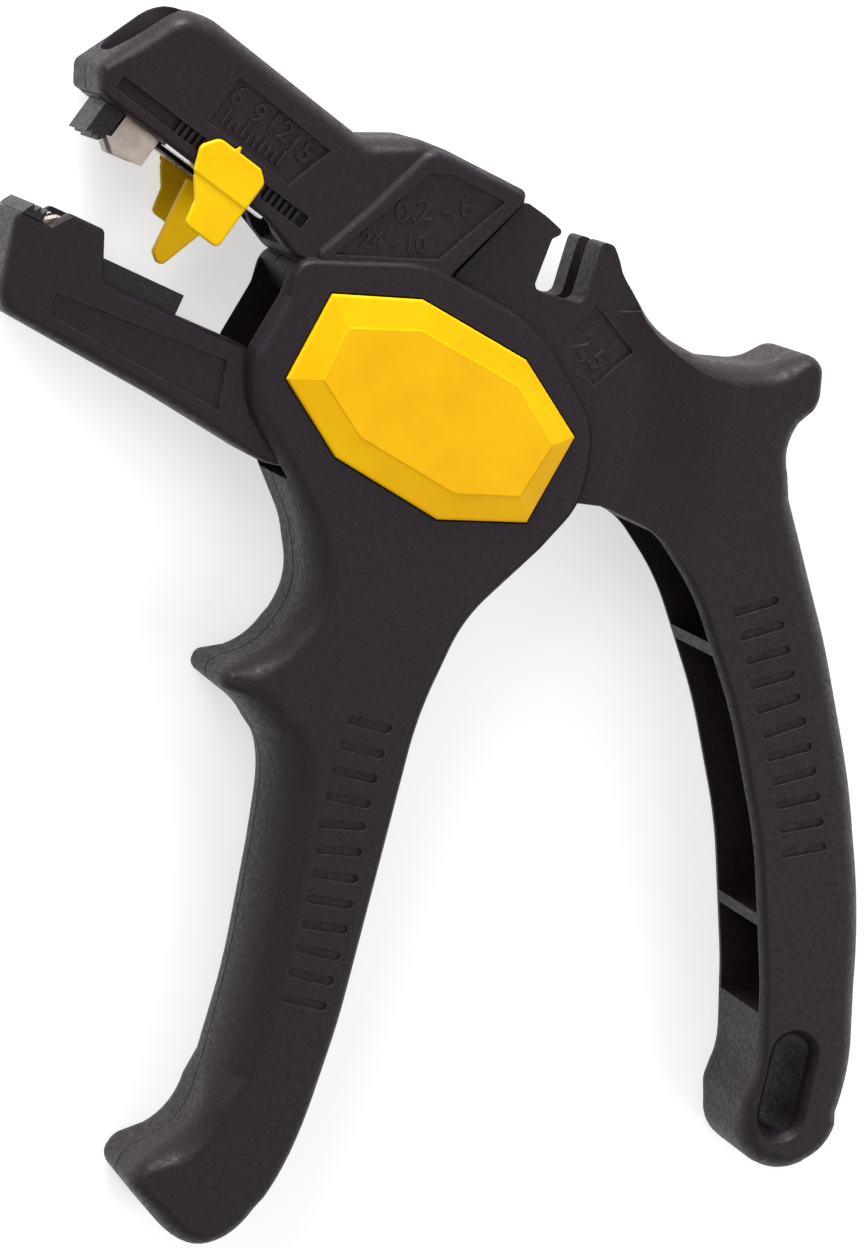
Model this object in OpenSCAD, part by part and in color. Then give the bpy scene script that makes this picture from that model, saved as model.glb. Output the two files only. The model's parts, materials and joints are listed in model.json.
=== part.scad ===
// Wire stripper: a pistol-shaped hand tool lying flat on its rear side.
// +X points to the grip lever, +Y to the jaws, +Z up out of the front side.
// The origin is on the main pin's axis, in the plane that the tool lies on.

/* [Body] */
// Thickness of the hub and handles, from rear side to front side
body_t = 20; // [19.6:0.1:22]
// Thickness of the upper jaw between its two side faces
jaw_t = 17.6; // [17.4:0.1:18]
// Wall of the two moulded shells
wall = 2.4; // [1.8:0.1:2.4]
// Height that the front badge stands proud of the shell
badge_proud = 1.2; // [0.6:0.1:2]
// Depth of the badge pockets
badge_pocket = 0.8; // [0.5:0.1:1.2]
// Gap round a badge in its pocket
badge_gap = 0.25; // [0.15:0.05:0.4]

/* [Jaws] */
// Angle of the upper jaw below the horizontal, in degrees
jaw_tilt = 37.5; // [36:0.5:39]
// Angle that the lower jaw opens, in degrees
jaw_open = 11.6; // [10:0.2:12]
// Place of the jaw pin, to the left of the main pin
jaw_pin_x = -11; // [-11.6:0.1:-11]
// Place of the jaw pin, below the main pin
jaw_pin_y = -5; // [-5.4:0.1:-4.8]
// Gap between a shell's side wall and what runs between the shells
side_gap = 0.3; // [0.3:0.05:0.5]
// Width of the blade channel in both jaws
channel_w = 10.2; // [10:0.1:10.6]
// Gap between the two grips when the jaws are shut
bite_gap = 0.3; // [0.2:0.05:0.6]
// Distance that the blades are pulled back
pull_travel = 7; // [5:0.1:7]

/* [Blades] */
// Thickness of one blade
blade_t = 0.9; // [0.7:0.05:0.9]
// Pitch from one blade to the next
blade_pitch = 1.05; // [1:0.05:1.05]
// Number of blades in each of the two stacks
blade_count = 3; // [1:1:3]
// Length of a blade along the jaw
blade_len = 5.4; // [4:0.1:5.4]
// Distance of each stack's inner face from the middle plane
stack_gap = 1.6; // [1.5:0.1:1.7]

/* [Length stop] */
// Thickness of a leg of the length stop
stop_leg_t = 0.9; // [0.6:0.05:1]
// Thickness of the tongue of the length stop
stop_tongue_t = 1.6; // [1:0.1:2.2]
// Height of the groove that the stop slides in
groove_h = 1.8; // [1.6:0.1:2]
// Depth of that groove
groove_d = 1.2; // [0.8:0.1:1.4]

/* [Grip lever] */
// Angle that the lever swings when squeezed, in degrees
lever_swing = 25; // [24:0.5:26]
// Radius of the lever's hub
hub_r = 6.5; // [6.2:0.1:6.6]
// Radius inside which the lever is two cheeks
cheek_r = 26; // [25.6:0.1:26.4]
// Slot between the two cheeks
cheek_slot = 4.1; // [4:0.05:4.2]
// Thickness of the outer wall of the lever's channel
lever_back = 3.4; // [2.4:0.1:4.5]
// Thickness of the channel's two side walls
lever_side = 2.2; // [1.6:0.1:3]
// Width of the lanyard slot
lanyard_w = 5; // [4.6:0.1:5.6]
// Length of the lanyard slot
lanyard_l = 13.5; // [11:0.1:14]

/* [Pins and screws] */
// Radius of the main pin
main_pin_r = 3; // [2.6:0.1:3.1]
// Radius of the jaw pin
jaw_pin_r = 2.5; // [2:0.1:2.6]
// Radius of the two driving pins
drive_pin_r = 1.5; // [1.2:0.1:1.6]
// Wall of the bushes on the main pin
bush_wall = 1.4; // [0.8:0.1:1.6]
// Radius of the screw shanks
screw_r = 1.3; // [1:0.1:1.5]
// Radius of the screw heads
screw_head_r = 2.6; // [2.2:0.1:2.8]

/* [Cutter] */
// Thickness of the fixed cutter blade
cutter_t = 1.4; // [1:0.1:1.4]
// Radius of the cutter's inner edge from the main pin
cutter_r0 = 19.3; // [19:0.1:19.6]
// Radius of the cutter's outer edge
cutter_r1 = 25.6; // [24:0.1:25.6]

/* [Hidden] */
$fn = 48;

// Running clearance between moving faces, and the fit of a pin in its bore
run = 0.3;
fit = 0.03;
// Middle plane, and the side faces of the upper jaw
mid = body_t / 2;
jaw_z0 = mid - jaw_t / 2;
jaw_z1 = mid + jaw_t / 2;
// Inside faces of the hub between the shells
in_z0 = wall;
in_z1 = body_t - wall;
// Thickness of all that runs between the shells
inner_z0 = in_z0 + side_gap;
inner_z1 = in_z1 - side_gap;
// The slot between the lever's cheeks, and the plates that lie in it
slot_z0 = mid - cheek_slot / 2 - 0.75;
slot_z1 = slot_z0 + cheek_slot;
plate_t = 1.6;
plate_z = slot_z0 + run;
cutter_z = plate_z + plate_t + 0.4;
anvil_t = cutter_z - slot_z0 - 0.1;

jaw_pin_at = [jaw_pin_x, jaw_pin_y];
pin_gap = norm(jaw_pin_at);
pin_line = atan2(-jaw_pin_y, -jaw_pin_x);
// The drive pin turns the jaw arm: this radius gives jaw_open for lever_swing
swing_ratio = jaw_open / lever_swing;
drive_r = pin_gap * swing_ratio / (1 - swing_ratio);
drive_angle = pin_line + lever_swing / 2;
drive_at = drive_r * [cos(drive_angle), sin(drive_angle)];
// The pull pin moves the pull bar by pull_travel
pull_r = pull_travel / (2 * sin(lever_swing / 2));
pull_angle = 90 - jaw_tilt + lever_swing / 2;
pull_at = pull_r * [cos(pull_angle), sin(pull_angle)];

// Places along the jaw: u runs from the nose to the hub, v across it
nose_u = -64.4;
rail_v = 6;
jaw_top_v = 22.4;
holder_v = 9.8;
bite_v = 1.15;
grip_u0 = -60.2;
grip_u1 = -57.3;
grip_w = 10;
tooth_count = 3;
tooth_pitch = 0.96;
tooth_h = 0.8;
blade_u = -57;
// Raised walls beside the lower blades
block_u0 = -54.4;
block_u1 = -49.4;
block_v = 1.8;
// The channel of the lower jaw, and its slanted front end
channel_v = -11.3;
channel_end_u = -27;
channel_front = [[-60, -0.7], [-57.5, channel_v]];
carriage_top_v = -1.5;
carriage_u1 = -36;
bar_v = pull_r * cos(lever_swing / 4);
bar_h = 4;
bar_front_u = -51.5;
groove_v = 7.7;
groove_u0 = -61.2;
groove_u1 = -31;
stop_web_u = -40.8;
stop_end_u = -38.5;
stop_web_v = 4.9;
stack_w = blade_t + blade_pitch * (blade_count - 1);

// Step from a thicker boss down to the web beside it
web_step = 0.1;
arm_root_r = 4.6;
dowel_r0 = 10.5;
dowel_at = [0, -dowel_r0];
dowel_r = 1.5;
dowel_boss_r = 2.8;
boss_way = dowel_boss_r + run;
boss_r = 3.6;
screw_places = [[-12, -37], [-17.2, -64], [-29.5, -98.5], [-1.5, 31]];
spring_wire = 1.2;
spring_gap = 0.7;
spring_r = dowel_r0 - dowel_boss_r - spring_wire / 2 - spring_gap;
spring_turns = 2;
spring_pitch = 1.35;
spring_leg = 8.2;
// Leg that leans on the dowel's boss: its length, and its angle off the line to the dowel
spring_lean = 4.5;
spring_lean_angle = asin((dowel_boss_r + spring_wire / 2 + 0.02) / (dowel_r0 - spring_r));
lanyard_at = [46.8, -91.8];
lanyard_tilt = -13;
rib_places = [[35.6, -32, -20], [41.6, -69, -5]];

// Outlines hold [x, y, corner radius, width of the rounded edge], counter-clockwise.
// Hub and finger handle
hub_outline = [[-20.5, 21.5, 2, 0.8], [-22.6, 16.6, 3, 0.8], [-27.4, 9.5, 3, 0.8], [-27.2, 2, 6, 0.8],
    [-21.8, -7, 6, 1], [-19.2, -14.4, 8, 3], [-18.5, -22.6, 9, 3.4], [-23.7, -29.6, 6, 3], [-30.4, -31.6, 1.6, 1.3],
    [-30.9, -33.6, 1.4, 1.1], [-25.9, -38, 6, 4], [-22.8, -44.6, 12, 5.4], [-24.9, -56.9, 60, 5.6],
    [-27.9, -71.8, 60, 5.6], [-31.2, -83.6, 20, 5], [-34.3, -92.6, 8, 3], [-42, -96.4, 2.2, 1.6],
    [-43.7, -98.8, 2.4, 1.6], [-36.4, -108.8, 7, 2.4], [-29.2, -107.5, 7, 2.4], [-21.3, -97.3, 40, 1.8],
    [-14.8, -78.8, 60, 1.8], [-8.7, -56.3, 60, 1.8], [-4.2, -39.6, 30, 1.8], [1.8, -26.9, 12, 1.6],
    [12.3, -17.7, 5, 1.3], [18.5, -11.4, 8, 1.3], [19.6, -1.4, 6, 1], [12.2, 11.8, 14, 1], [-3.4, 20.5, 8, 1]];
// Upper jaw, along u and v
jaw_outline = [[-62.3, rail_v, 0.8, 0.5], [-35.5, rail_v, 3, 0.4], [-29.6, 4.4, 2, 0.4], [-11.3, 6, 0, 0.4],
    [-11.3, 15.5, 0, 0.5], [-8.6, 29.5, 1, 0.7], [-20.5, 27.5, 6, 2], [-24.8, 26.3, 3, 2],
    [-30.8, jaw_top_v - 0.4, 3, 2.4], [-55.6, jaw_top_v, 4, 2.6], [-60.6, 20.8, 4, 2.4], [-62.7, 13.8, 6, 2],
    [nose_u, 8.6, 1.5, 1.2]];
// Grip lever
lever_outline = [[10.6, 27.6, 0.8, 0.4], [1.3, 18.6, 1, 0.4], [-5.2, 4.4, 3, 0.4], [-4.4, -5.2, 3, 0.4],
    [8, -10.5, 6, 0.4], [21.3, -12.6, 4, 0.6], [28, -16, 6, 0.9], [33.6, -24.6, 20, 0.9],
    [39, -41.2, 40, 0.9], [42.4, -58.6, 40, 0.9], [43.4, -78, 30, 0.9], [43.1, -90.1, 8, 1],
    [41, -94, 2.4, 1.4], [40.3, -100.8, 5, 2.2], [46.2, -104.8, 5, 2.8], [53.5, -102, 5, 3],
    [57.2, -92.4, 20, 4.2], [58.9, -71.1, 60, 5], [57.4, -51.9, 60, 5.2], [53.5, -31.9, 60, 5.2],
    [48.2, -13.1, 12, 4.8], [46.5, -5.7, 5, 3.4], [51.2, 0.2, 3, 2], [51.5, 7.5, 3, 1.8],
    [43.6, 4.9, 5, 2.8], [36, 5.9, 8, 3.2], [29.2, 9.8, 8, 3.4], [24.3, 17.2, 6, 1.4],
    [22.6, 21.6, 1.2, 0.8], [21, 22.2, 0.9, 0.6], [20.4, 20.4, 2, 0.4], [18.4, 14, 1.2, 0.4],
    [11.5, 16.2, 1, 0.4], [14.1, 22.7, 0.8, 0.4], [15.8, 23.4, 0.8, 0.4], [13.4, 25.6, 1, 0.4]];
// Lower jaw, along u and v, as it lies when shut
lower_outline = [[-58.6, -10.9, 1.5, 1], [-57, -13, 2, 1.2], [-45, -14, 20, 1.4], [-32.5, -15, 20, 1.2],
    [-17.5, -16.8, 6, 0.8], [-8.9, -14.4, 1, 0.4], [-8.9, -7, 1, 0.4], [-26.5, -4, 4, 0.5],
    [-44.6, -4.4, 2, 0.5], [-46.8, -4.2, 1, 0.4], [block_u1, block_v, 0.8, 0.4], [block_u0, block_v, 0.8, 0.4],
    [-56, -0.6, 0.4, 0.3], [-60.5, -0.6, 0.5, 0.3], [-60.8, -1.6, 0.8, 0.6]];
// Steps of a rounded edge: share of its width, and depth below the face
edge_steps = [[0, 5.5], [0.12, wall - 0.3], [0.45, 0.7], [1, 0]];
badge_outline = [[-16.1, 16.7], [-22.2, 6], [-15.8, -4.3], [-2.3, -12.9], [9.8, -13.8], [16.3, -2.9],
    [9.7, 7.4], [-4.1, 15.6]];

function unit(v) = v / norm(v);
function flat(p) = [p[0], p[1]];
// Points of one corner: an arc of radius r, or less where its sides are short
function corner(a, b, c, r, edge, n) =
    let (to_a = unit(a - b), to_c = unit(c - b), half = acos(max(-1, min(1, to_a * to_c))) / 2,
        t = min(r / tan(half), 0.48 * norm(a - b), 0.48 * norm(c - b)), arc_r = t * tan(half))
    (r < 0.05 || half > 89) ? [[b[0], b[1], edge]] :
    let (centre = b + unit(to_a + to_c) * arc_r / sin(half), first = b + to_a * t - centre,
        last = b + to_c * t - centre, start = atan2(first[1], first[0]),
        turn = atan2(first[0] * last[1] - first[1] * last[0], first * last))
    [for (i = [0:n]) let (g = start + turn * i / n)
        [centre[0] + arc_r * cos(g), centre[1] + arc_r * sin(g), edge]];
function rounded(pts, n = 3) = let (m = len(pts))
    [for (i = [0:m - 1]) each corner(flat(pts[(i + m - 1) % m]), flat(pts[i]), flat(pts[(i + 1) % m]),
        pts[i][2], pts[i][3], n)];
function outward(a, b) = let (d = unit(b - a)) [d[1], -d[0]];
// The outline drawn in by k times each point's own edge width
function drawn_in(pts, k) = let (m = len(pts))
    [for (i = [0:m - 1]) let (a = flat(pts[(i + m - 1) % m]), b = flat(pts[i]), c = flat(pts[(i + 1) % m]),
        n0 = outward(a, b), n1 = outward(b, c)) b - (n0 + n1) / (1 + n0 * n1) * pts[i][2] * k];

// A plate with stepped-round long edges: the top edge always, the bottom edge if both is true
module pillow(pts, z0, z1, both = false) {
    for (step = edge_steps) plate(drawn_in(pts, step[0]), z0 + (both ? step[1] : 0), z1 - step[1]);
}
// A tube of 6 sides along a list of points, for the springs
module wire(path, r) {
    n = len(path);
    rings = [for (i = [0:n - 1]) let (t = unit(path[min(i + 1, n - 1)] - path[max(i - 1, 0)]),
        side = unit(cross(t, abs(t[2]) < 0.8 ? [0, 0, 1] : [1, 0, 0])), up = cross(side, t))
        each [for (k = [0:5]) path[i] + r * (cos(60 * k) * side + sin(60 * k) * up)]];
    sides = [for (i = [0:n - 2], k = [0:5]) let (a = 6 * i + k, b = 6 * i + (k + 1) % 6)
        each [[a, b, a + 6], [b, b + 6, a + 6]]];
    polyhedron(rings, concat([[5, 4, 3, 2, 1, 0]], sides, [[for (k = [0:5]) 6 * (n - 1) + k]]), convexity = 6);
}
module plate(pts, z0, z1) {
    translate([0, 0, z0]) linear_extrude(z1 - z0) polygon([for (p = pts) flat(p)]);
}
module rod(at, r, z0, z1) {
    translate([at[0], at[1], z0]) cylinder(r = r, h = z1 - z0);
}
module block(u0, u1, v0, v1, z0, z1) {
    translate([u0, v0, z0]) cube([u1 - u0, v1 - v0, z1 - z0]);
}
module sector(r0, r1, from, to, z0, z1) {
    rotate([0, 0, from]) rotate_extrude(angle = to - from) translate([r0, z0]) square([r1 - r0, z1 - z0]);
}
// Turns what lies along u and v into place on the upper jaw, or on the open lower jaw
module on_upper() {
    rotate([0, 0, -jaw_tilt]) children();
}
module on_lower() {
    translate([jaw_pin_x, jaw_pin_y, 0]) rotate([0, 0, jaw_open]) translate([-jaw_pin_x, -jaw_pin_y, 0])
        on_upper() children();
}
module flipped() {
    translate([0, 0, body_t]) mirror([0, 0, 1]) children();
}
// Length stop groove, cut in one side face of the upper jaw
module stop_groove() {
    block(groove_u0, groove_u1, groove_v, groove_v + groove_h, jaw_z1 - groove_d, jaw_z1 + 1);
}
module hub_hollow() {
    translate([0, 0, mid - 1]) linear_extrude(in_z1 - mid + 1) offset(delta = -wall)
        polygon([for (p = rounded(hub_outline, 3)) flat(p)]);
}
module jaw_hollow() {
    intersection() {
        translate([0, 0, mid - 1]) linear_extrude(jaw_z1 - wall + 0.2 - mid + 1) offset(delta = -wall + 0.2)
            polygon([for (p = rounded(jaw_outline, 3)) flat(p)]);
        block(nose_u, 0, holder_v, 40, 0, body_t);
    }
}
// One half of the body, from the middle plane to the front side
module shell_half() {
    difference() {
        union() {
            pillow(rounded(hub_outline), mid, body_t);
            on_upper() pillow(rounded(jaw_outline), mid, jaw_z1);
        }
        difference() {
            union() {
                hub_hollow();
                on_upper() jaw_hollow();
            }
            for (p = screw_places) rod(p, boss_r, 0, body_t);
            rod(dowel_at, dowel_boss_r, inner_z1 - 3, body_t);
        }
        on_upper() {
            block(-61.6, -31, 0, holder_v + 0.5, mid - 1, mid + channel_w / 2);
            block(-40, 12, bar_v - bar_h / 2 - 2.2, bar_v + bar_h / 2 + 2.2, mid - 1, mid + 3);
            stop_groove();
        }
        // Ways in for the lever on the right and for the lower jaw on the left
        sector(8, 24, -66, 92, mid - 1, in_z1);
        sector(8, 42, -66, 66, mid - 1, in_z1);
        translate([jaw_pin_x, jaw_pin_y, 0]) sector(0, 44, 112, 192, mid - 1, in_z1);
        rod([0, 0], main_pin_r + fit, 0, body_t - 1);
        rod(jaw_pin_at, jaw_pin_r + fit, 0, body_t - 1);
        rod(dowel_at, dowel_r + fit, 0, in_z1 + 0.01);
    }
}
module badge_pocket_cut() {
    translate([0, 0, body_t - badge_pocket]) linear_extrude(badge_pocket + 2) offset(delta = badge_gap)
        polygon(badge_outline);
}

module front_shell() {
    color([0.2, 0.18, 0.2])
    difference() {
        shell_half();
        badge_pocket_cut();
        for (p = screw_places) rod(p, screw_r, 0, jaw_z1 - 1.5);
    }
}
module rear_shell() {
    color([0.2, 0.18, 0.2])
    difference() {
        flipped() shell_half();
        flipped() badge_pocket_cut();
        for (p = screw_places) {
            rod(p, screw_r + 0.1, -1, mid + 1);
            rod(p, screw_head_r + 0.1, -1, wall + 1.6);
        }
    }
}
module front_badge() {
    rim = [for (p = badge_outline) [p[0], p[1], badge_proud]];
    color([1, 0.84, 0]) {
        plate(rim, body_t - badge_pocket, body_t + badge_proud / 2);
        plate(drawn_in(rim, 1), body_t - badge_pocket, body_t + badge_proud);
    }
}
module rear_badge() {
    color([1, 0.84, 0]) plate(badge_outline, 0, badge_pocket);
}
module main_pin() {
    color([0.7, 0.7, 0.72]) rod([0, 0], main_pin_r, 1, body_t - 1);
}
module jaw_pin() {
    color([0.7, 0.7, 0.72]) rod(jaw_pin_at, jaw_pin_r, 1, body_t - 1);
}
module shell_screws() {
    color([0.6, 0.6, 0.62])
    for (p = screw_places) {
        difference() {
            union() {
                rod(p, screw_r, wall + 0.5, mid + 5);
                rod(p, screw_head_r, wall - 0.2, wall + 1.6);
            }
            rod(p, 1.1, 0, wall + 0.8);
        }
    }
}
// Toothed block at the nose, its teeth across the jaw
module upper_grip() {
    tip_v = bite_v + bite_gap / 2;
    teeth = [for (i = [0:tooth_count - 1]) each [[grip_u0 + tooth_pitch * i, tip_v],
        [grip_u0 + tooth_pitch * (i + 0.6), tip_v + tooth_h]]];
    color([0.2, 0.18, 0.2]) on_upper() {
        plate(concat(teeth, [[grip_u1, 5.8], [grip_u0, 5.8]]), mid - grip_w / 2, mid + grip_w / 2);
        block(-61.5, grip_u1, 5.8, holder_v, mid - channel_w / 2 + 0.05, mid + channel_w / 2 - 0.05);
    }
}
module cutter_blade() {
    color([0.75, 0.76, 0.78])
    difference() {
        union() {
            rod([0, 0], 5.2, cutter_z, cutter_z + cutter_t);
            rod(dowel_at, 3, cutter_z, cutter_z + cutter_t);
            plate([[-2.4, -dowel_r0], [-4.2, 0], [4, 1], [cutter_r0 + 0.8, -4], [cutter_r0 + 2.8, -9.2],
                [cutter_r0 - 1, -10.6], [1, -dowel_r0 - 2.5]],
                cutter_z + web_step, cutter_z + cutter_t - web_step);
            sector(cutter_r0, cutter_r1, -26, 36, cutter_z, cutter_z + cutter_t);
        }
        rod([0, 0], main_pin_r + fit, 0, body_t);
        rod(dowel_at, dowel_r + fit, 0, body_t);
    }
}
module cutter_dowel() {
    color([0.7, 0.7, 0.72]) rod(dowel_at, dowel_r, in_z0, in_z1);
}
module return_spring() {
    coil_z = inner_z1 - spring_wire / 2 - 0.1;
    steps = 18;
    first = -90;
    coil = [for (i = [0:spring_turns * steps]) let (g = first + 360 * i / steps)
        [spring_r * cos(g), spring_r * sin(g), coil_z - spring_pitch * i / steps]];
    // One leg leans on the dowel's boss, the other lies in a pocket of the lever
    leg_in = [[-spring_lean * sin(spring_lean_angle),
        -spring_r - spring_lean * cos(spring_lean_angle), coil_z]];
    leg_out = [[spring_leg, -spring_r, coil_z - spring_pitch * spring_turns]];
    color([0.6, 0.6, 0.62]) wire(concat(leg_in, coil, leg_out), spring_wire / 2);
}
// Channel inside the lever: what its outer wall leaves open towards the handle
module lever_hollow() {
    outer = [for (p = rounded([for (i = [15:22]) lever_outline[i]], 4)) flat(p)];
    translate([0, 0, lever_side]) linear_extrude(body_t - 2 * lever_side)
    intersection() {
        offset(delta = -lever_back) polygon(concat([[0, -120]], outer, [[20, 30]]));
        polygon([[10, -84], [60, -84], [60, -14], [34, -18], [10, -24]]);
    }
}
module lever_ribs() {
    for (r = rib_places) translate([r[0], r[1], 1]) rotate([0, 0, r[2]])
        translate([-4, -0.8, 0]) cube([24, 1.6, body_t - 2]);
}
module grip_lever() {
    color([0.2, 0.18, 0.2])
    difference() {
        union() {
            intersection() {
                pillow(rounded(lever_outline), 0, body_t, both = true);
                union() {
                    difference() {
                        block(-20, 70, -120, 50, 0, body_t);
                        rod([0, 0], cheek_r, -1, body_t + 1);
                        block(-20, 12, 0, 50, -1, body_t + 1);
                        block(-20, 26, 13, 50, -1, body_t + 1);
                    }
                    block(-20, 70, -120, 50, inner_z0, inner_z1);
                }
            }
            rod([0, 0], hub_r, inner_z0, inner_z1);
        }
        difference() {
            lever_hollow();
            intersection() {
                lever_ribs();
                plate(rounded(lever_outline), 0, body_t);
            }
        }
        rod([0, 0], cutter_r1 + 1.3, slot_z0, slot_z1);
        rod([0, 0], spring_r + spring_wire / 2 + 1.2, slot_z1 + 1.9, body_t);
        block(0, spring_leg + 0.2, -spring_r - spring_wire / 2 - 0.1, -spring_r + spring_wire / 2 + 0.1,
            inner_z1 - 5, body_t);
        // Way round the dowel's boss as the lever swings
        sector(dowel_r0 - boss_way, dowel_r0 + boss_way, -115, lever_swing - 90, -1, body_t + 1);
        rod([dowel_r0 * sin(lever_swing), -dowel_r0 * cos(lever_swing)], boss_way, -1, body_t + 1);
        rod([0, 0], main_pin_r + bush_wall + fit, 0, body_t);
        rod(drive_at, drive_pin_r + fit, 0, body_t);
        rod(pull_at, drive_pin_r + fit, 0, body_t);
        translate([lanyard_at[0], lanyard_at[1], 0]) rotate([0, 0, lanyard_tilt]) {
            for (s = [-1, 1]) rod([0, s * (lanyard_l - lanyard_w) / 2], lanyard_w / 2, -1, body_t + 1);
            block(-lanyard_w / 2, lanyard_w / 2, (lanyard_w - lanyard_l) / 2, (lanyard_l - lanyard_w) / 2,
                -1, body_t + 1);
        }
    }
}
module lever_bushes() {
    color([0.75, 0.6, 0.3])
    difference() {
        union() {
            rod([0, 0], main_pin_r + bush_wall, inner_z0, slot_z0);
            rod([0, 0], main_pin_r + bush_wall, slot_z1, slot_z1 + 1.9);
        }
        rod([0, 0], main_pin_r + fit, 0, body_t);
    }
}
module pull_pin() {
    color([0.7, 0.7, 0.72]) rod(pull_at, drive_pin_r, inner_z0 + 0.2, inner_z1 - 0.2);
}
module drive_pin() {
    color([0.7, 0.7, 0.72]) rod(drive_at, drive_pin_r, inner_z0 + 0.2, slot_z1 + 2.5);
}
// Shear plate on the lever, at the notch's left wall
module anvil_blade() {
    color([0.75, 0.76, 0.78])
    intersection() {
        sector(cutter_r0 + 1.9, cutter_r1 + 0.6, 55, 80, slot_z0, slot_z0 + anvil_t);
        plate(rounded(lever_outline), 0, body_t);
    }
}
module lower_jaw() {
    color([0.2, 0.18, 0.2])
    difference() {
        union() {
            on_lower() pillow(rounded(lower_outline), inner_z0, inner_z1, both = true);
            rod(jaw_pin_at, 5.2, inner_z0 + web_step, inner_z1 - web_step);
        }
        on_lower() {
            plate([each channel_front, [channel_end_u, channel_v], [channel_end_u, 20], [-60, 20]],
                mid - channel_w / 2, mid + channel_w / 2);
            block(grip_u0 - 2, grip_u1, -0.7, 20, 0, body_t);
        }
        rod(jaw_pin_at, jaw_pin_r + fit, 0, body_t);
        translate([jaw_pin_x, jaw_pin_y, 0]) rotate([0, 0, pin_line + jaw_open / 2]) {
            rod([0, 0], arm_root_r + 0.1, plate_z - 0.02, plate_z + plate_t + 0.02);
            block(0, 8, -8, 8, plate_z - 0.02, plate_z + plate_t + 0.02);
        }
    }
}
// Steel arm from the jaw pin past the main pin to the drive pin
module jaw_arm() {
    arm_l = norm(drive_at - jaw_pin_at);
    arm_l_mid = pin_gap + drive_r;
    color([0.65, 0.66, 0.68])
    difference() {
        translate([jaw_pin_x, jaw_pin_y, 0]) rotate([0, 0, pin_line + jaw_open / 2]) {
            rod([0, 0], arm_root_r, plate_z, plate_z + plate_t);
            plate([[0, -4.2], [8, -6.4], [pin_gap + 2, -6.8], [arm_l + 1, -3], [arm_l + 1, 3], [pin_gap + 2, 6.8],
                [8, 6.4], [0, 4.2]], plate_z, plate_z + plate_t);
            rod([arm_l, 0], 3.5, plate_z, plate_z + plate_t);
        }
        rod(jaw_pin_at, jaw_pin_r + fit, 0, body_t);
        translate([jaw_pin_x, jaw_pin_y, 0]) rotate([0, 0, pin_line + jaw_open / 2]) {
            for (g = [-1, -0.5, 0, 0.5, 1]) rotate([0, 0, g * jaw_open / 2])
                rod([pin_gap, 0], main_pin_r + 0.35, 0, body_t);
            for (x = [arm_l, arm_l_mid]) rod([x, 0], drive_pin_r + 0.06, 0, body_t);
            block(arm_l, arm_l_mid, -drive_pin_r - 0.06, drive_pin_r + 0.06, 0, body_t);
        }
    }
}
module lower_grip() {
    tip_v = bite_v - bite_gap / 2;
    teeth = [for (i = [0:tooth_count - 1]) each [[grip_u1 - tooth_pitch * i, tip_v],
        [grip_u1 - tooth_pitch * (i + 0.6), tip_v - tooth_h]]];
    color([0.2, 0.18, 0.2]) on_lower() {
        plate(concat(teeth, [[grip_u0, -0.65], [grip_u1, -0.65]]), inner_z0, inner_z1);
        plate([channel_front[0] + [0.05, 0.05], channel_front[1] + [0.05, 0], [grip_u1, channel_v],
            [grip_u1, -0.65]],
            mid - channel_w / 2 + 0.05, mid + channel_w / 2 - 0.05);
    }
}
// The two stacks of blades, with their cutting ends at v0 or v1
module blade_stacks(v0, v1, edge_v) {
    root_v = edge_v == v0 ? v1 : v0;
    for (side = [-1, 1], i = [0:blade_count - 1])
        translate([0, 0, mid + side * (stack_gap + blade_t / 2 + i * blade_pitch) - blade_t / 2])
            linear_extrude(blade_t) polygon([[blade_u, root_v], [blade_u, edge_v + (root_v > edge_v ? 1.5 : -1.5)],
                [blade_u + blade_len * 0.4, edge_v], [blade_u + blade_len, edge_v + (root_v > edge_v ? 0.8 : -0.8)],
                [blade_u + blade_len, root_v]]);
}
module stack_pockets(u0, u1, v0, v1) {
    for (side = [-1, 1]) translate([0, 0, mid + side * (stack_gap + stack_w / 2)])
        block(u0, u1, v0, v1, -stack_w / 2 - 0.15, stack_w / 2 + 0.15);
}
module lower_carriage() {
    color([0.16, 0.15, 0.16]) on_lower()
    difference() {
        block(blade_u - 0.2, carriage_u1, channel_v + 0.2, carriage_top_v, mid - channel_w / 2 + run,
            mid + channel_w / 2 - run);
        stack_pockets(blade_u - 1, blade_u + blade_len + 0.05, -8, 0);
        block(blade_u - 1, carriage_u1 + 1, -7.2, 0, mid - stack_gap, mid + stack_gap);
        translate([-44, -9.1, mid]) rotate([0, 90, 0]) cylinder(r = 1.6, h = 12);
    }
}
module lower_blades() {
    color([0.75, 0.76, 0.78]) on_lower() blade_stacks(-8, bite_v - bite_gap / 2, bite_v - bite_gap / 2);
}
module carriage_spring() {
    from_u = -43.9;
    to_u = channel_end_u - 0.1;
    turns = 8;
    steps = 10;
    coil = [for (i = [0:turns * steps]) [from_u + 0.3 + (to_u - from_u - 0.6) * i / (turns * steps),
        -9.1 + 1.2 * cos(36 * i), mid + 1.2 * sin(36 * i)]];
    color([0.6, 0.6, 0.62]) on_lower() wire(coil, 0.25);
}
module pull_bar() {
    rest_u = pull_r * cos(pull_angle + jaw_tilt);
    rest_v = pull_r * sin(pull_angle + jaw_tilt);
    color([0.65, 0.66, 0.68]) on_upper()
    difference() {
        union() {
            block(bar_front_u, rest_u, bar_v - bar_h / 2, bar_v + bar_h / 2, plate_z, plate_z + plate_t);
            rod([rest_u, bar_v], 3.6, plate_z, plate_z + plate_t);
        }
        for (v = [rest_v, pull_r]) rod([rest_u, v], drive_pin_r + 0.06, 0, body_t);
        block(rest_u - drive_pin_r - 0.06, rest_u + drive_pin_r + 0.06, rest_v, pull_r, 0, body_t);
    }
}
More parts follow.
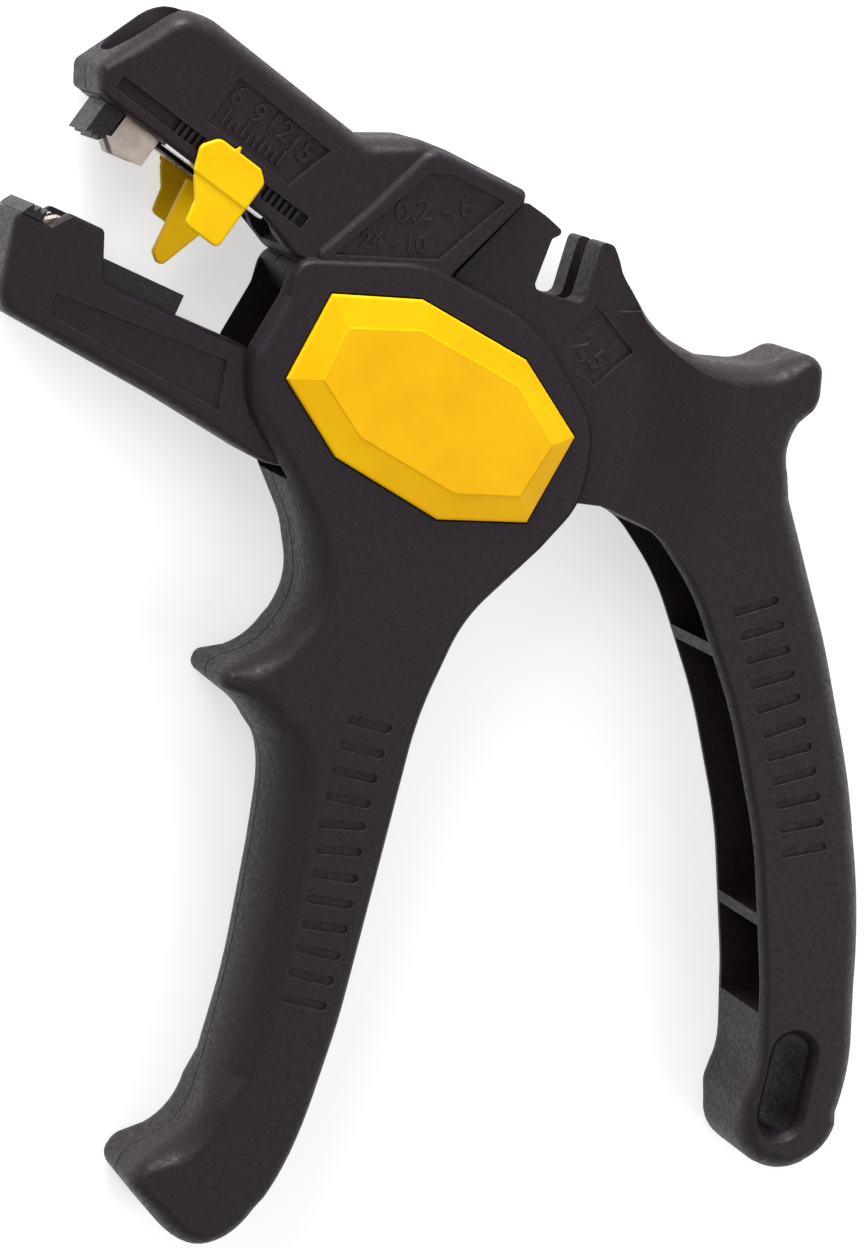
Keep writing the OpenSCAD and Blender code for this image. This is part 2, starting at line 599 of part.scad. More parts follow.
module blade_holder() {
    color([0.16, 0.15, 0.16]) on_upper()
    difference() {
        block(blade_u - 0.2, -43, holder_v + 0.2, 19.4, jaw_z0 + wall + 0.1, jaw_z1 - wall - 0.1);
        stack_pockets(blade_u - 1, blade_u + blade_len + 0.05, 0, 14.2);
        block(bar_front_u - 0.05, 0, bar_v - bar_h / 2 - 0.05, bar_v + bar_h / 2 + 0.05, plate_z - 0.02,
            plate_z + plate_t + 0.02);
    }
}
module blade_pads() {
    color([0.3, 0.3, 0.3]) on_upper() for (side = [-1, 1])
        translate([0, 0, mid + side * (stack_gap + stack_w / 2)])
            block(blade_u, blade_u + blade_len, 13.7, 14.2, -stack_w / 2, stack_w / 2);
}
module upper_blades() {
    color([0.75, 0.76, 0.78]) on_upper() blade_stacks(bite_v + bite_gap / 2, 13.7, bite_v + bite_gap / 2);
}
// Saddle that straddles the upper jaw's rail, with a tongue that the wire's end meets
module length_stop() {
    leg = rounded([[-44.6, 2.4, 1], [-43.8, -0.8, 0.8], [stop_end_u, -0.8, 0.8], [stop_end_u, 9.4, 1], [-40, 10.6, 0.8],
        [-46.6, 10.6, 1.2], [-48.2, 8.4, 1.2], [-46.4, 4.6, 1.2]], 3);
    tongue = rounded([[-42.9, -5.4, 0.6], [-41, -6.7, 0.8], [-39.4, -1, 1], [stop_end_u, 3, 0.5],
        [stop_end_u, stop_web_v, 0], [-44.8, stop_web_v, 0.4]], 3);
    color([1, 0.78, 0.05]) on_upper() {
        for (side = [-1, 1]) translate([0, 0, mid]) mirror([0, 0, side < 0 ? 1 : 0]) {
            plate(leg, jaw_t / 2 + 0.1, jaw_t / 2 + 0.1 + stop_leg_t);
            block(-47, -39.4, groove_v + 0.15, groove_v + groove_h - 0.15, jaw_t / 2 - groove_d + 0.25, jaw_t / 2 + 0.2);
            block(stop_web_u, stop_end_u, stop_web_v - 1.9, stop_web_v, 0, jaw_t / 2 + 0.2);
        }
        plate(tongue, mid - stop_tongue_t / 2, mid + stop_tongue_t / 2);
    }
}

front_shell();
rear_shell();
front_badge();
rear_badge();
main_pin();
jaw_pin();
shell_screws();
upper_grip();
cutter_blade();
cutter_dowel();
return_spring();
grip_lever();
lever_bushes();
pull_pin();
drive_pin();
anvil_blade();
lower_jaw();
jaw_arm();
lower_grip();
lower_carriage();
lower_blades();
carriage_spring();
pull_bar();
blade_holder();
blade_pads();
upper_blades();
length_stop();
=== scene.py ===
import json
import math

import bmesh
import bpy
from mathutils import Matrix, Vector


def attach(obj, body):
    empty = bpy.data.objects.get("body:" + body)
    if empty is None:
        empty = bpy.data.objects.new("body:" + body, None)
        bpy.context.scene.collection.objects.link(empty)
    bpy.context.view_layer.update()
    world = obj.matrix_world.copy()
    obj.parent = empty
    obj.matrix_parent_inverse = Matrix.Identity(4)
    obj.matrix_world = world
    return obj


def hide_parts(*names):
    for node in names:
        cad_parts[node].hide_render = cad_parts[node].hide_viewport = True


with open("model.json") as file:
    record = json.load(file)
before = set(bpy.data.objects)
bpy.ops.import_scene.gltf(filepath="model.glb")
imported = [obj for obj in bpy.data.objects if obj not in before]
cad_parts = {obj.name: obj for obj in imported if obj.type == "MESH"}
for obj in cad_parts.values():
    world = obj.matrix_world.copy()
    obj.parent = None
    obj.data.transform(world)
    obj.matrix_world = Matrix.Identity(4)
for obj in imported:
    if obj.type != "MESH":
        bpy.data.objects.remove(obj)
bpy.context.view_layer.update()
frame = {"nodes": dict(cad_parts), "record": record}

MM = 0.001

# Sizes that the part's source holds too
BODY_T = 20.0
MID = BODY_T / 2
WALL = 2.4
JAW_Z1 = 18.8
JAW_TILT = 37.5
JAW_OPEN = 11.6
JAW_PIN = (-11.0, -5.0)
INNER_Z0, INNER_Z1 = 2.7, 17.3
CHANNEL_W = 10.2
BAR_V = 16.1
CHEEK_R = 26.0
SLOT_Z0, SLOT_Z1 = 7.2, 11.3
GROOVE_V, GROOVE_H = 7.7, 1.8
SCREWS = [(-12, -37), (-17.2, -64), (-29.5, -98.5), (-1.5, 31)]
LANYARD, LANYARD_TILT = (46.8, -91.8), -13.0
LANYARD_L, LANYARD_W = 13.5, 5

# Sizes of seats, bores and hollows
MAIN_PIN = (0, 0)
INSIDE_Z0, INSIDE_Z1 = MID - 1, BODY_T - WALL
PARTING = 0.22
SCREW_BOSS_R = 3.6
COUNTERBORE_R, COUNTERBORE_Z1 = 2.7, 4
BADGE_SEAT = 0.8
BAR_WAY = 4.2
LEVER_BORE_R = 4.43
LEVER_WALL, LEVER_FLOOR = 3.6, 2.2
DOWEL_R0, DOWEL_ANGLE, DOWEL_WAY_R = 10.5, 25, 3.1
BOSS_WAY_R0, BOSS_WAY_R1 = 7.4, 13.6
SPRING_WAY_R, SPRING_WAY_Z0 = 8.2, 13.2
SPRING_LEG, SPRING_LEG_Z0 = (0, 8.4, -7.1, -5.7), 12.3
JAW_HUB_R, JAW_BORE_R = 5.2, 2.53
ARM_Z0, ARM_Z1 = 7.45, 9.15
ARM_HUB_R, ARM_TILT = 4.8, 24.44
RACK_U0, RACK_U1, RACK_PITCH, RACK_TEETH = -51.6, -51.15, 0.95, 21
RAIL_STRIP = (-51.5, -35.8, 5.7, 6.05)
RAIL_STRIP_ENDS = ((15.9, 18.1), (1.9, 4.1))

# Grip marks, ticks and figures
MARK_L, MARK_W, MARK_PITCH, MARK_COUNT, MARK_DEPTH = 6.4, 1.25, 3.4, 12, 0.45
TICK_U0, TICK_HALF_W, TICK_V0, TICK_SHORT, TICK_LONG = -47.4, 0.16, 12.2, 13.5, 14.4
FIGURE_H = 0.22
RULE_FIGURES = (("6", (-47.6, 16.3)), ("9", (-44.1, 15.9)), ("12", (-40.9, 16.3)),
                ("15", (-37.1, 15.7)))

# Outlines hold x, y, corner radius and width of the rounded edge, counter-clockwise
HUB = [(-20.5, 21.5, 2, 1), (-22.6, 16.6, 3, 1.8), (-27.4, 9.5, 3.4, 2.4), (-27.2, 2, 6, 2.4),
       (-21.8, -7, 6, 2.2), (-19.2, -14.4, 8, 3), (-18.5, -22.6, 9, 3.4), (-23.7, -29.6, 6, 3),
       (-30.4, -31.6, 1.6, 1.3), (-30.9, -33.6, 1.4, 1.1), (-25.9, -38, 6, 4), (-22.8, -44.6, 12, 5.4),
       (-24.9, -56.9, 60, 5.6), (-27.9, -71.8, 60, 5.6), (-31.2, -83.6, 20, 5), (-34.3, -92.6, 8, 3),
       (-42, -96.4, 2.2, 1.6), (-43.7, -98.8, 2.4, 1.6), (-36.4, -108.68, 7, 2.4),
       (-29.2, -107.5, 7, 2.4), (-21.3, -97.3, 40, 1.8), (-14.8, -78.8, 60, 1.8), (-8.7, -56.3, 60, 1.8),
       (-4.2, -39.6, 30, 1.8), (1.8, -26.9, 12, 1.6), (12.3, -17.7, 5, 1.3), (18.5, -11.4, 8, 1.3),
       (19.6, -1.4, 6, 1.1), (12.2, 11.8, 14, 1.1), (-3.4, 20.5, 8, 1)]
HUB_HOLLOW = [(-17.5, 19), (-19.8, 15.6), (-24.2, 8.8), (-24.2, 2.4), (-18.8, -7.4), (-16.4, -14.5),
              (-15.8, -22.8), (-20.2, -29.8), (-25.4, -32.8), (-22.6, -37.5), (-19.2, -45),
              (-21.2, -57), (-24.2, -72), (-27.4, -84.5), (-31.4, -93), (-39, -97.6), (-35.2, -105.2),
              (-30.2, -104.4), (-23.6, -96.4), (-17.1, -78.1), (-11.1, -55.8), (-6.6, -39),
              (-0.2, -25.2), (11, -15.6), (16, -11), (17.1, -1.8), (10.4, 9.8), (-4.3, 18)]
JAW = [(-62.3, 6, 0.8, 0.7), (-35.5, 6, 3, 0.6), (-29.6, 4.4, 2, 0.8), (-11.3, 6, 0, 0.4),
       (-11.3, 15.5, 0, 0.5), (-8.6, 29.5, 1, 0.7), (-20.5, 27.5, 6, 2), (-24.8, 26.3, 3, 2),
       (-30.8, 22, 3, 2.4), (-55.6, 22.4, 4, 2.6), (-60.6, 20.8, 4, 2.4), (-62.7, 13.8, 6, 2),
       (-64.4, 8.6, 1.5, 1.2)]
JAW_PAD = [(-27.8, 5.6, 1.2, 1), (-11.5, 6.4, 1, 0.4), (-11.2, 15.5, 0, 0.4), (-8.8, 28.9, 1, 0.7),
           (-20.4, 27, 5, 1.3), (-23.6, 26, 2, 1.3), (-25.6, 15, 20, 1.2)]
JAW_HOLLOW = [(-61.2, 9.8), (-33, 9.8), (-13, 9.8), (-13.4, 16), (-11.6, 26.4), (-20, 24.9),
              (-24, 23.8), (-30.2, 19.9), (-55, 20.1), (-58.4, 18.9), (-60.4, 13.4)]
LEVER = [(10.6, 27.6, 0.8, 0.7), (1.3, 18.6, 1, 0.5), (-5.2, 4.4, 3, 0.4), (-4.4, -5.2, 3, 0.4),
         (8, -10.5, 6, 0.4), (21.3, -12.6, 4, 0.6), (28, -16, 6, 0.9), (33.6, -24.6, 20, 0.9),
         (39, -41.2, 40, 0.9), (42.4, -58.6, 40, 0.9), (43.4, -78, 30, 0.9), (43.1, -90.1, 8, 1),
         (41, -94, 2.4, 1.4), (40.3, -100.8, 5, 2.2), (46.2, -104.8, 5, 2.8), (53.5, -102, 5, 3),
         (57.2, -92.4, 20, 4.2), (58.9, -71.1, 60, 5), (57.4, -51.9, 60, 5.2), (53.5, -31.9, 60, 5.2),
         (48.2, -13.1, 12, 4.8), (46.5, -5.7, 5, 3.4), (51.2, 0.2, 3, 2), (51.5, 7.5, 3, 1.8),
         (43.6, 4.9, 5, 2.8), (36, 5.9, 8, 3.2), (29.2, 9.8, 8, 3.4), (24.3, 17.2, 6, 2.4),
         (22.6, 21.6, 1.2, 0.8), (21, 22.2, 0.9, 0.6), (20.4, 20.4, 2, 0.5), (18.4, 14, 1.2, 0.5),
         (11.5, 16.2, 1, 0.5), (14.1, 22.7, 0.8, 0.5), (15.8, 23.4, 0.8, 0.5), (13.4, 25.6, 1, 0.6)]
LEVER_RIBS = [(35.6, -32, -20), (41.6, -69, -5)]
LEVER_THIN = [(-20, -1), (12, -1), (12, 13), (26, 13), (26, 50), (-20, 50)]
LABEL = [(14.4, 8.2), (19.9, 3.4), (25.2, 7.6), (20.1, 13.9)]
RULE_PANEL = [(-49.1, 11.4), (-35.6, 11.2), (-33.8, 17.9), (-49.1, 18.3)]
WIRE_PANEL = [(-25.6, 7.6), (-13.9, 15.2), (-11.2, 26.4), (-19.2, 25), (-21.6, 23.4)]
LOWER = [(-58.58, -10.88, 1.5, 1), (-57, -13, 2, 1.2), (-45, -14, 20, 1.4), (-32.5, -15, 20, 1.4),
         (-17.5, -16.8, 6, 0.9), (-8.9, -14.4, 1, 0.4), (-8.9, -7, 1, 0.4), (-26.5, -4, 4, 1),
         (-44.6, -4.4, 2, 0.6), (-46.8, -4.2, 1, 0.5), (-49.4, 1.8, 0.8, 0.5), (-54.4, 1.8, 0.8, 0.5),
         (-56, -0.6, 0.4, 0.3), (-60.5, -0.6, 0.5, 0.3), (-60.75, -1.6, 0.8, 0.6)]
LOWER_CHANNEL = [(-60, -0.7), (-57.5, -11.3), (-27, -11.3), (-27, 20), (-60, 20)]
LOWER_PANEL = [(-51.4, -10.9), (-26.2, -13), (-27.9, -6.7), (-52, -8)]
BADGE = [(-16.1, 16.7), (-22.2, 6), (-15.8, -4.3), (-2.3, -12.9), (9.8, -13.8), (16.3, -2.9),
         (9.7, 7.4), (-4.1, 15.6)]
BADGE_TOP = [(-14.2, 12.3), (-17.5, 5.8), (-12.7, -1.7), (-0.1, -9.5), (8.6, -10.2), (13, -3.7),
             (8.3, 4.2), (-4.5, 11.7)]
STOP_LEG = [(-44.6, 2.4, 1, 0.3), (-43.8, -0.8, 0.8, 0.3), (-38.5, -0.8, 0.8, 0.3),
            (-38.5, 9.4, 1, 0.3), (-40, 10.6, 0.8, 0.3), (-46.6, 10.6, 1.2, 0.3),
            (-48.2, 8.4, 1.2, 0.3), (-46.4, 4.6, 1.2, 0.3)]
STOP_CAP = [(-46.9, 5.2, 0.5, 0.3), (-38.5, 5.2, 0.4, 0.3), (-38.5, 9.4, 1, 0.3),
            (-40, 10.6, 0.8, 0.3), (-46.6, 10.6, 1.2, 0.3), (-48.2, 8.4, 1.2, 0.3)]
STOP_NUB = [(-44.3, 10.2), (-43.3, 10.2), (-43.8, 11.3)]
STOP_TONGUE = [(-42.9, -5.4, 0.6, 0.3), (-41, -6.7, 0.8, 0.3), (-39.4, -1, 1, 0.3),
               (-38.5, 3, 0.5, 0.3), (-38.5, 4.9, 0, 0.2), (-44.8, 4.9, 0.3, 0.2)]
FRONT_MARKS = [(-11.4, -39.4), (-13.4, -46.2), (-15, -52), (-15.9, -58.7), (-17.4, -65.9),
               (-19.1, -71.8), (-20.9, -77.6)]
LEVER_MARKS = [(41.6, -26.3), (43.1, -32.4), (44.5, -38.5), (46, -44), (47.3, -50.2), (48.2, -56),
               (48.9, -62)]
NOSE_LOW, NOSE_HIGH, NOSE_HALF_W = (-63.9, 11.2), (-57.4, 22.6), 6.2
NOSE_RINGS = ((5.2, 0.86), (0.4, 0.95), (-3.0, 1.12))

# How far a rounded edge reaches down: base, share of its width, and limit
HIGH_RISE = (0.8, 1.6, 9.6)
LOW_RISE = (0.8, 1.6, 8.0)
THIN_RISE = (0.6, 1.4, 6.0)


# Places

def on_upper(p):
    """A point along and across the upper jaw, in the row frame."""
    a = math.radians(-JAW_TILT)
    return (p[0] * math.cos(a) - p[1] * math.sin(a), p[0] * math.sin(a) + p[1] * math.cos(a), p[2])


def on_lower(p):
    """A point of the lower jaw, given as it lies when shut, in the row frame with the jaw open."""
    x, y, z = on_upper(p)
    a = math.radians(JAW_OPEN)
    dx, dy = x - JAW_PIN[0], y - JAW_PIN[1]
    return (JAW_PIN[0] + dx * math.cos(a) - dy * math.sin(a),
            JAW_PIN[1] + dx * math.sin(a) + dy * math.cos(a), z)


def as_is(p):
    return p


def turned(at, angle):
    """Places a shape drawn round the origin at a point, turned by an angle in degrees."""
    a = math.radians(angle)
    return lambda p: (at[0] + p[0] * math.cos(a) - p[1] * math.sin(a),
                      at[1] + p[0] * math.sin(a) + p[1] * math.cos(a), p[2])


# Outlines

def unit(x, y):
    size = math.hypot(x, y)
    return x / size, y / size


def corner(a, b, c, n):
    """Points of one rounded corner, each with the corner's edge width."""
    r, edge = b[2], b[3]
    ax, ay = unit(a[0] - b[0], a[1] - b[1])
    cx, cy = unit(c[0] - b[0], c[1] - b[1])
    half = math.acos(max(-1, min(1, ax * cx + ay * cy))) / 2
    if r < 0.05 or half > math.radians(89):
        return [(b[0], b[1], edge)]
    full = r / math.tan(half)
    side_a = 0.48 * math.hypot(a[0] - b[0], a[1] - b[1])
    side_c = 0.48 * math.hypot(c[0] - b[0], c[1] - b[1])
    reach = min(full, side_a, side_c)
    r = reach * math.tan(half)
    if b[2] >= 2 and r * math.sin(half) > 1.3 * edge:
        reach_a, reach_c = min(1.7 * full, side_a), min(1.7 * full, side_c)
        start = (b[0] + ax * reach_a, b[1] + ay * reach_a)
        stop = (b[0] + cx * reach_c, b[1] + cy * reach_c)
        return [soft_point(start, b, stop, i / n) + (edge,) for i in range(n + 1)]
    mx, my = unit(ax + cx, ay + cy)
    ox, oy = b[0] + mx * r / math.sin(half), b[1] + my * r / math.sin(half)
    fx, fy = b[0] + ax * reach - ox, b[1] + ay * reach - oy
    lx, ly = b[0] + cx * reach - ox, b[1] + cy * reach - oy
    turn = math.atan2(fx * ly - fy * lx, fx * lx + fy * ly)
    start = math.atan2(fy, fx)
    return [(ox + r * math.cos(start + turn * i / n), oy + r * math.sin(start + turn * i / n), edge)
            for i in range(n + 1)]


def soft_point(a, b, c, t):
    """A point of the curve that leaves a towards b and reaches c from b."""
    k0, k1, k2 = (1 - t) ** 2, 2 * t * (1 - t), t * t
    return k0 * a[0] + k1 * b[0] + k2 * c[0], k0 * a[1] + k1 * b[1] + k2 * c[1]


def rounded(pts, n=8):
    m = len(pts)
    out = []
    for i in range(m):
        out += corner(pts[i - 1], pts[i], pts[(i + 1) % m], n)
    return blended_edges(out)


def blended_edges(pts):
    """Lets the edge width run smoothly from one corner to the next along long sides."""
    out = []
    m = len(pts)
    for i in range(m):
        a, b = pts[i], pts[(i + 1) % m]
        out.append(a)
        gap = math.hypot(b[0] - a[0], b[1] - a[1])
        steps = int(gap // 3) if abs(a[2] - b[2]) > 0.15 else 0
        for k in range(1, steps):
            s = k / steps
            soft = s * s * (3 - 2 * s)
            out.append((a[0] + (b[0] - a[0]) * s, a[1] + (b[1] - a[1]) * s,
                        a[2] + (b[2] - a[2]) * soft))
    return out


def inward(pts):
    """For each point, the move that draws the outline in by one."""
    m = len(pts)
    moves = []
    for i in range(m):
        a, b, c = pts[i - 1], pts[i], pts[(i + 1) % m]
        d0, d1 = unit(b[0] - a[0], b[1] - a[1]), unit(c[0] - b[0], c[1] - b[1])
        n0, n1 = (d0[1], -d0[0]), (d1[1], -d1[0])
        k = 1 + n0[0] * n1[0] + n0[1] * n1[1]
        moves.append((-(n0[0] + n1[0]) / k, -(n0[1] + n1[1]) / k))
    return moves


def ring_in(pts, moves, k, z):
    """The outline drawn in by k, at height z."""
    return [(p[0] + m[0] * k, p[1] + m[1] * k, z) for p, m in zip(pts, moves)]


def grown(pts, gap):
    """The outline moved out by a gap."""
    return [(p[0] - m[0] * gap, p[1] - m[1] * gap) for p, m in zip(pts, inward(pts))]


# Solids

def from_rings(name, rings, place=as_is):
    """A closed mesh from rings of equal length, lowest first."""
    n = len(rings[0])
    verts = [tuple(c * MM for c in place(p)) for ring in rings for p in ring]
    faces = [tuple(reversed(range(n)))]
    for k in range(len(rings) - 1):
        for i in range(n):
            j = (i + 1) % n
            faces.append((k * n + i, k * n + j, (k + 1) * n + j, (k + 1) * n + i))
    faces.append(tuple(range((len(rings) - 1) * n, len(rings) * n)))
    return from_faces(name, verts, faces)


def from_faces(name, verts, faces):
    mesh = bpy.data.meshes.new(name)
    mesh.from_pydata(verts, [], faces)
    work = bmesh.new()
    work.from_mesh(mesh)
    bmesh.ops.recalc_face_normals(work, faces=work.faces)
    work.to_mesh(mesh)
    work.free()
    mesh.update()
    obj = bpy.data.objects.new(name, mesh)
    bpy.context.scene.collection.objects.link(obj)
    return obj


def edge_rings(pts, z1, steps, sign, rise):
    """Rings of a rounded edge, from the side wall to the face at z1. Rise is base, share and limit."""
    moves = inward(pts)
    rings = []
    for s in range(steps + 1):
        t = math.pi / 2 * s / steps
        k, drop = 1 - math.cos(t), 1 - math.sin(t)
        rings.append([(p[0] + m[0] * p[2] * k, p[1] + m[1] * p[2] * k,
                       z1 - sign * drop * min(rise[2], rise[0] + rise[1] * p[2]))
                      for p, m in zip(pts, moves)])
    return rings


def pillow(name, pts, z0, z1, both=False, place=as_is, steps=6, rise=(0, 1, 3.6), parting=0.0):
    """A plate with rounded long edges, at the top or at both faces."""
    top = edge_rings(pts, z1, steps, 1, rise)
    if both:
        low = edge_rings(pts, z0, steps, -1, rise)[::-1]
    else:
        low = [ring_in(pts, inward(pts), parting, z0)]
        if parting:
            low.append([(p[0], p[1], z0 + parting) for p in pts])
    return from_rings(name, low + top, place)


def prism(pts, z0, z1, place=as_is):
    return from_rings("tool", [[(p[0], p[1], z) for p in pts] for z in (z0, z1)], place)


def box(u0, u1, v0, v1, z0, z1, place=as_is):
    return prism([(u0, v0), (u1, v0), (u1, v1), (u0, v1)], z0, z1, place)


def rod(at, r, z0, z1, n=40, place=as_is):
    return prism(circle(at, r, n), z0, z1, place)


def circle(at, r, n=40):
    return [(at[0] + r * math.cos(2 * math.pi * i / n), at[1] + r * math.sin(2 * math.pi * i / n))
            for i in range(n)]


def sector(at, r, start, stop, z0, z1, steps=24):
    """A slice of a disc, from one angle to another in degrees."""
    angles = [math.radians(start + (stop - start) * i / steps) for i in range(steps + 1)]
    return prism([at] + [(at[0] + r * math.cos(a), at[1] + r * math.sin(a)) for a in angles], z0, z1)


def wedge(pts, z_face, depths, place=as_is):
    """A recess whose floor lies at its own depth under each point."""
    low = [(p[0], p[1], z_face - d) for p, d in zip(pts, depths)]
    high = [(p[0], p[1], z_face + 1.5) for p in pts]
    return from_rings("tool", [low, high], place)


def stadium(length, width, n=8):
    """A straight slot's outline with round ends, about the origin."""
    reach = (length - width) / 2
    right = [(reach + width / 2 * math.cos(math.radians(a)), width / 2 * math.sin(math.radians(a)))
             for a in [-90 + 180 * i / n for i in range(n + 1)]]
    return right + [(-x, -y) for x, y in right]


def bake(obj):
    """Applies the object's modifiers to its mesh."""
    deps = bpy.context.evaluated_depsgraph_get()
    mesh = bpy.data.meshes.new_from_object(obj.evaluated_get(deps))
    obj.modifiers.clear()
    obj.data = mesh


def boolean(obj, tools, operation="DIFFERENCE"):
    """Cuts, joins or keeps what the tools cover, and deletes the tools."""
    for tool in tools:
        mod = obj.modifiers.new("boolean", "BOOLEAN")
        mod.operation = operation
        mod.solver = "EXACT"
        mod.object = tool
    bake(obj)
    for tool in tools:
        bpy.data.objects.remove(tool)
    return obj


def joined(parts, name="tool"):
    """One object from separate closed meshes."""
    verts, faces = [], []
    for part in parts:
        base = len(verts)
        verts += [tuple(part.matrix_world @ v.co) for v in part.data.vertices]
        faces += [tuple(base + i for i in p.vertices) for p in part.data.polygons]
        bpy.data.objects.remove(part)
    return from_faces(name, verts, faces)


def mirrored(obj, name):
    """A copy mirrored in the tool's middle plane."""
    verts = [(v.co.x, v.co.y, BODY_T * MM - v.co.z) for v in obj.data.vertices]
    faces = [tuple(reversed(p.vertices)) for p in obj.data.polygons]
    return from_faces(name, verts, faces)


def finish_mesh(obj, angle=32):
    """Smooth shading that keeps flat faces flat and real edges sharp."""
    obj.data.shade_smooth()
    obj.data.set_sharp_from_angle(angle=math.radians(angle))
    mod = obj.modifiers.new("normals", "WEIGHTED_NORMAL")
    mod.keep_sharp = True
    return obj


def dress(obj, body, slot, material, *nodes):
    """Gives a piece its material and its body, and hides the CAD nodes it stands for. The slot is not used.
    """
    obj.data.materials.clear()
    obj.data.materials.append(material)
    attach(obj, body)
    if nodes:
        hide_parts(*nodes)
    return obj


# Materials

def new_material(name):
    mat = bpy.data.materials.new(name)
    mat.use_nodes = True
    return mat, mat.node_tree, mat.node_tree.nodes["Principled BSDF"]


def noise(tree, scale, detail=3.0, stretch=None):
    """Noise in object space, scale in waves per metre."""
    coords = tree.nodes.new("ShaderNodeTexCoord")
    tex = tree.nodes.new("ShaderNodeTexNoise")
    tex.inputs["Scale"].default_value = scale
    tex.inputs["Detail"].default_value = detail
    if stretch:
        mapping = tree.nodes.new("ShaderNodeMapping")
        mapping.inputs["Scale"].default_value = stretch
        tree.links.new(coords.outputs["Object"], mapping.inputs["Vector"])
        tree.links.new(mapping.outputs["Vector"], tex.inputs["Vector"])
    else:
        tree.links.new(coords.outputs["Object"], tex.inputs["Vector"])
    return tex.outputs["Fac"]


def ramp(tree, value, low, high, start=0.35, stop=0.65):
    """Colour or grey that runs from low to high as the value goes from start to stop."""
    node = tree.nodes.new("ShaderNodeValToRGB")
    node.color_ramp.elements[0].position = start
    node.color_ramp.elements[1].position = stop
    node.color_ramp.elements[0].color = grey(low)
    node.color_ramp.elements[1].color = grey(high)
    tree.links.new(value, node.inputs["Fac"])
    return node.outputs["Color"]


def grey(value):
    return (*value, 1) if isinstance(value, tuple) else (value, value, value, 1)


def mixed(tree, factor, a, b, kind="MIX"):
    """Blends two colours, where factor and b are outputs of nodes or constants."""
    node = tree.nodes.new("ShaderNodeMix")
    node.data_type = "RGBA"
    node.blend_type = kind
    for key, value in (("Factor", factor), ("A", a), ("B", b)):
        if isinstance(value, bpy.types.NodeSocket):
            tree.links.new(value, node.inputs[key])
        else:
            node.inputs[key].default_value = value
    return node.outputs["Result"]


def edge_mask(tree, radius, strength):
    """Nearly one at sharp edges and zero on flat faces."""
    bevel = tree.nodes.new("ShaderNodeBevel")
    bevel.samples = 4
    bevel.inputs["Radius"].default_value = radius
    geometry = tree.nodes.new("ShaderNodeNewGeometry")
    dot = tree.nodes.new("ShaderNodeVectorMath")
    dot.operation = "DOT_PRODUCT"
    tree.links.new(bevel.outputs["Normal"], dot.inputs[0])
    tree.links.new(geometry.outputs["Normal"], dot.inputs[1])
    node = tree.nodes.new("ShaderNodeMapRange")
    node.inputs["From Min"].default_value = 1.0
    node.inputs["From Max"].default_value = 1.0 - strength
    tree.links.new(dot.outputs["Value"], node.inputs["Value"])
    return node.outputs["Result"]


def bump(tree, shader, heights, radius=None):
    """Chains bumps of (height, strength, distance in mm) on a slightly rounded normal."""
    normal = None
    if radius:
        bevel = tree.nodes.new("ShaderNodeBevel")
        bevel.samples = 4
        bevel.inputs["Radius"].default_value = radius * MM
        normal = bevel.outputs["Normal"]
    for height, strength, distance in heights:
        node = tree.nodes.new("ShaderNodeBump")
        node.inputs["Strength"].default_value = strength
        node.inputs["Distance"].default_value = distance * MM
        tree.links.new(height, node.inputs["Height"])
        if normal:
            tree.links.new(normal, node.inputs["Normal"])
        normal = node.outputs["Normal"]
    tree.links.new(normal, shader.inputs["Normal"])


def plastic(name, dark, light, edge_sheen, grain=3600, depth=0.09, rough=(0.42, 0.62)):
    """Black moulded plastic with a sandy grain, and a painted sheen that lightens its edges."""
    mat, tree, shader = new_material(name)
    shader.inputs["Specular IOR Level"].default_value = 0.22
    speckle = noise(tree, grain, 2.5)
    blotch = noise(tree, 70, 4)
    base = ramp(tree, speckle, dark, light, 0.4, 0.68)
    tone = ramp(tree, blotch, 0.82, 1.0)
    toned = mixed(tree, 1.0, base, tone, "MULTIPLY")
    # Painted sheen: sharp edges are mixed towards a lighter grey, broken up by noise
    edge_sheen_mask = tree.nodes.new("ShaderNodeMath")
    edge_sheen_mask.operation = "MULTIPLY"
    tree.links.new(edge_mask(tree, 0.35 * MM, 0.35), edge_sheen_mask.inputs[0])
    tree.links.new(ramp(tree, noise(tree, 900, 4), 0.15, 0.9), edge_sheen_mask.inputs[1])
    tree.links.new(mixed(tree, edge_sheen_mask.outputs["Value"], toned, grey(edge_sheen)), shader.inputs["Base Color"])
    tree.links.new(ramp(tree, noise(tree, 1500, 4), rough[0], rough[1]), shader.inputs["Roughness"])
    bump(tree, shader, [(noise(tree, grain * 0.8, 3), 0.55, depth), (noise(tree, 260, 3), 0.12, 0.05)],
         radius=0.22)
    return mat


def gloss_yellow(name, low, high, rough):
    """Yellow moulded plastic, slightly uneven, with fine handling marks."""
    mat, tree, shader = new_material(name)
    shader.inputs["Specular IOR Level"].default_value = 0.12
    tree.links.new(ramp(tree, noise(tree, 120, 5), low, high), shader.inputs["Base Color"])
    tree.links.new(ramp(tree, noise(tree, 1400, 4), rough - 0.06, rough + 0.08),
                   shader.inputs["Roughness"])
    bump(tree, shader, [(noise(tree, 2200, 3), 0.14, 0.02), (noise(tree, 160, 2), 0.08, 0.05)],
         radius=0.25)
    return mat


def steel(name, low, high, rough, stretch=(1, 1, 1)):
    """Metal with brushed or ground streaks and faint stains."""
    mat, tree, shader = new_material(name)
    shader.inputs["Metallic"].default_value = 1.0
    streaks = noise(tree, 900, 5, stretch)
    tree.links.new(ramp(tree, noise(tree, 220, 5), low, high), shader.inputs["Base Color"])
    tree.links.new(ramp(tree, streaks, rough - 0.08, rough + 0.12), shader.inputs["Roughness"])
    bump(tree, shader, [(streaks, 0.25, 0.02)], radius=0.12)
    return mat


